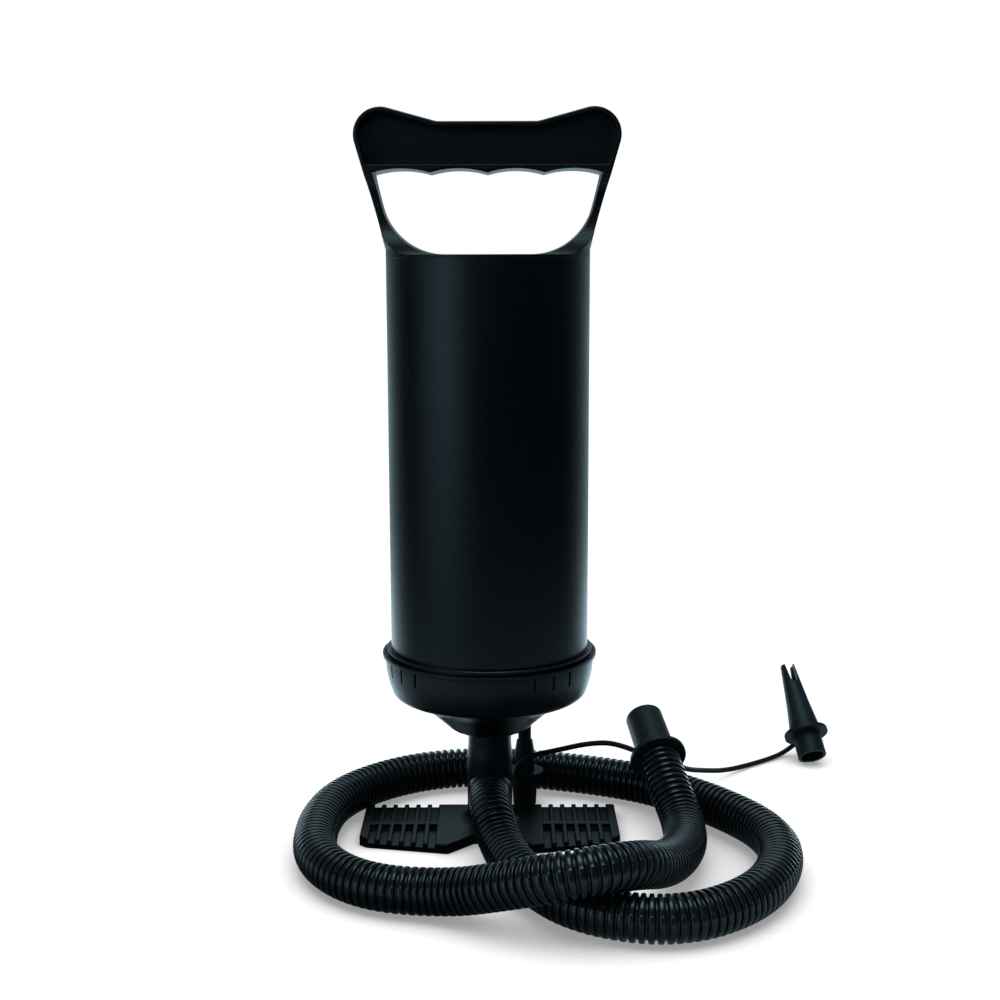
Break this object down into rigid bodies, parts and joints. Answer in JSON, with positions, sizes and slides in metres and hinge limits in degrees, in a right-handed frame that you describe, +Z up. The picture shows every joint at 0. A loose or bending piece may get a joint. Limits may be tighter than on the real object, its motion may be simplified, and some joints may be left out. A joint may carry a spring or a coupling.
{
  "type": "double action hand pump",
  "caption": "Upright air pump: D-handled barrel that slides on a fixed stem and piston, with a ribbed foot plate, corrugated hose and nozzles on a strap.",
  "frame": {"origin": "on the floor, on the axis of the barrel and stem", "axes": "+Z up along the barrel, -Y the side the hose leaves, X along the handle and the foot"},
  "size_m": [0.295, 0.2845, 0.3647],
  "materials": {
    "barrel_plastic": "satin fine-grained black",
    "moulded_plastic": "satin moulded black",
    "stem_plastic": "smooth black",
    "hose_plastic": "semi-gloss corrugated black",
    "nozzle_plastic": "satin soft black",
    "strap_plastic": "satin flexible black",
    "inner_plastic": "satin dark grey",
    "seal_rubber": "matt",
    "flap_rubber": "matt",
    "screw_steel": "zinc plated"
  },
  "bodies": {
    "root": {"foot_base": "moulded_plastic", "stem_tube": "stem_plastic", "stem_gasket": "seal_rubber", "stem_screw": "screw_steel", "hose_port": "moulded_plastic", "piston_body": "inner_plastic", "piston_cover": "inner_plastic", "piston_screws": "screw_steel", "piston_valve_keeper": "inner_plastic", "hose": "hose_plastic", "hose_cuff": "nozzle_plastic", "strap_ring_cuff": "strap_plastic", "strap_a": "strap_plastic", "strap_ring_a": "strap_plastic", "nozzle_a": "nozzle_plastic", "strap_b": "strap_plastic", "strap_ring_b": "strap_plastic", "nozzle_b": "nozzle_plastic"},
    "seal_body": {"piston_seal": "seal_rubber"},
    "barrel_body": {"barrel_tube": "barrel_plastic", "handle_head": "moulded_plastic", "end_cap": "moulded_plastic", "cap_gasket": "seal_rubber", "gland_bush": "inner_plastic", "stem_wiper": "seal_rubber", "gland_sleeve": "inner_plastic", "head_valve_keeper": "inner_plastic"},
    "head_flap": {"head_intake_flap": "flap_rubber"},
    "cap_flap": {"cap_intake_flap": "flap_rubber"},
    "upper_flap": {"upper_delivery_flap": "flap_rubber"},
    "lower_flap": {"lower_delivery_flap": "flap_rubber"}
  },
  "joints": [
    {"name": "barrel_turn", "type": "hinge", "parent": "root", "child": "seal_body", "pos_m": [0, 0, 0.2742], "axis": [0, 0, 1], "continuous": true},
    {"name": "barrel_slide", "type": "slide", "parent": "seal_body", "child": "barrel_body", "axis": [0, 0, 1], "range_m": [0, 0.187]},
    {"name": "head_intake_lift", "type": "slide", "parent": "barrel_body", "child": "head_flap", "axis": [0, 0, 1], "range_m": [0, 0.0014]},
    {"name": "cap_intake_lift", "type": "slide", "parent": "barrel_body", "child": "cap_flap", "axis": [0, 0, 1], "range_m": [0, 0.0015]},
    {"name": "upper_delivery_lift", "type": "slide", "parent": "root", "child": "upper_flap", "axis": [0, 0, 1], "range_m": [0, 0.0011]},
    {"name": "lower_delivery_lift", "type": "slide", "parent": "root", "child": "lower_flap", "axis": [0, 0, 1], "range_m": [0, 0.0015]}
  ]
}
